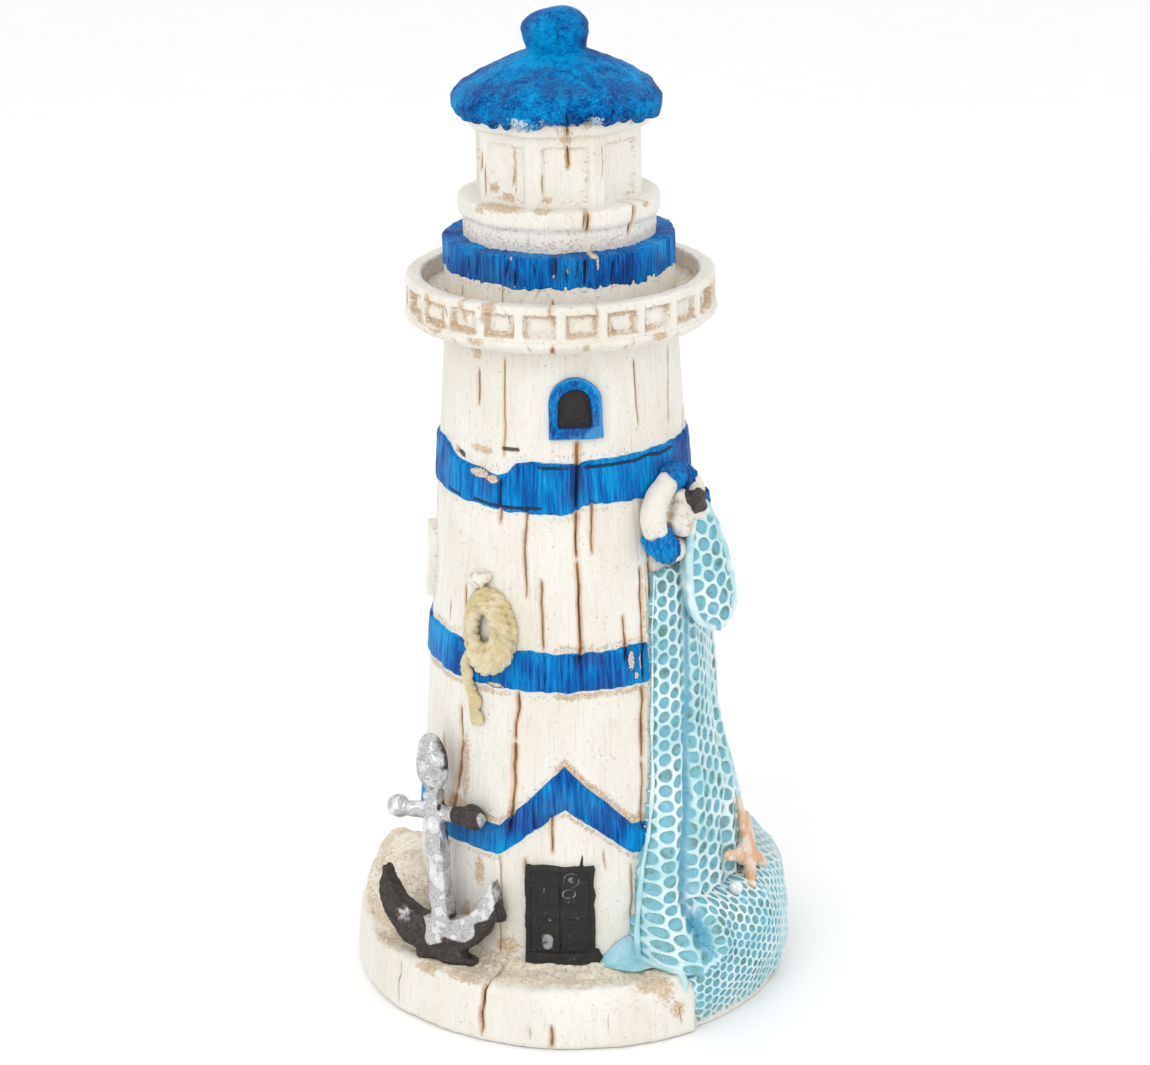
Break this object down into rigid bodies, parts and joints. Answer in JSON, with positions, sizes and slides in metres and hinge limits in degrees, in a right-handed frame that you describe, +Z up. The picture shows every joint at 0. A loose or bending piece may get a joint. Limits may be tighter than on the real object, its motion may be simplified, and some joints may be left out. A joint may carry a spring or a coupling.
{
  "type": "lighthouse figurine",
  "caption": "Free-standing lighthouse figure: a tapered plank tower with painted bands, a gallery and a domed lantern, with an anchor, rope coil, life ring and draped net fixed on.",
  "frame": {"origin": "middle of the underside, on the tower's axis, where the figure stands on a shelf", "axes": "+Z up along the tower's axis, -Y towards the door, +X towards the life ring and the net"},
  "size_m": [0.0754, 0.0736, 0.1654],
  "materials": {
    "cream_resin": "cast resin painted cream as worn planks, with brown wash in the cracks",
    "blue_paint": "brushed blue paint on cast resin",
    "black_paint": "scuffed black paint on cast resin",
    "anchor_silver": "silver paint with a dark wash on cast resin",
    "net_aqua": "aqua paint with pale strands on cast resin",
    "rope_straw": "straw-coloured paint on cast resin",
    "star_orange": "pale orange paint on cast resin",
    "pearl_white": "pearl-white paint on cast resin",
    "peg_brown": "dark brown stained wood",
    "pad_felt": "pale felt"
  },
  "bodies": {
    "root": {"base_pad": "pad_felt", "base": "cream_resin", "sand_mound": "cream_resin", "tower": "cream_resin", "upper_band": "blue_paint", "middle_band": "blue_paint", "gable_band": "blue_paint", "gallery_deck": "cream_resin", "gallery_parapet": "cream_resin", "lantern_plinth": "cream_resin", "collar_ring": "blue_paint", "lantern_sill": "cream_resin", "lantern_room": "cream_resin", "cornice_ring": "cream_resin", "roof": "blue_paint", "roof_knob": "blue_paint", "front_window_frame": "blue_paint", "front_window_pane": "black_paint", "side_window_frame": "cream_resin", "side_window_pane": "blue_paint", "door_frame": "black_paint", "door_leaf_left": "black_paint", "door_leaf_right": "black_paint", "door_step": "cream_resin", "anchor_arms": "anchor_silver", "anchor_shank": "anchor_silver", "anchor_stock": "anchor_silver", "life_ring": "cream_resin", "life_ring_wraps": "blue_paint", "net_peg": "peg_brown", "net_knot": "rope_straw", "net_flap": "net_aqua", "net_drape": "net_aqua", "net_pile": "net_aqua", "net_hem": "net_aqua", "rope_coil": "rope_straw", "rope_tail": "rope_straw", "rope_peg": "cream_resin", "starfish": "star_orange", "pearl": "pearl_white"}
  },
  "joints": []
}
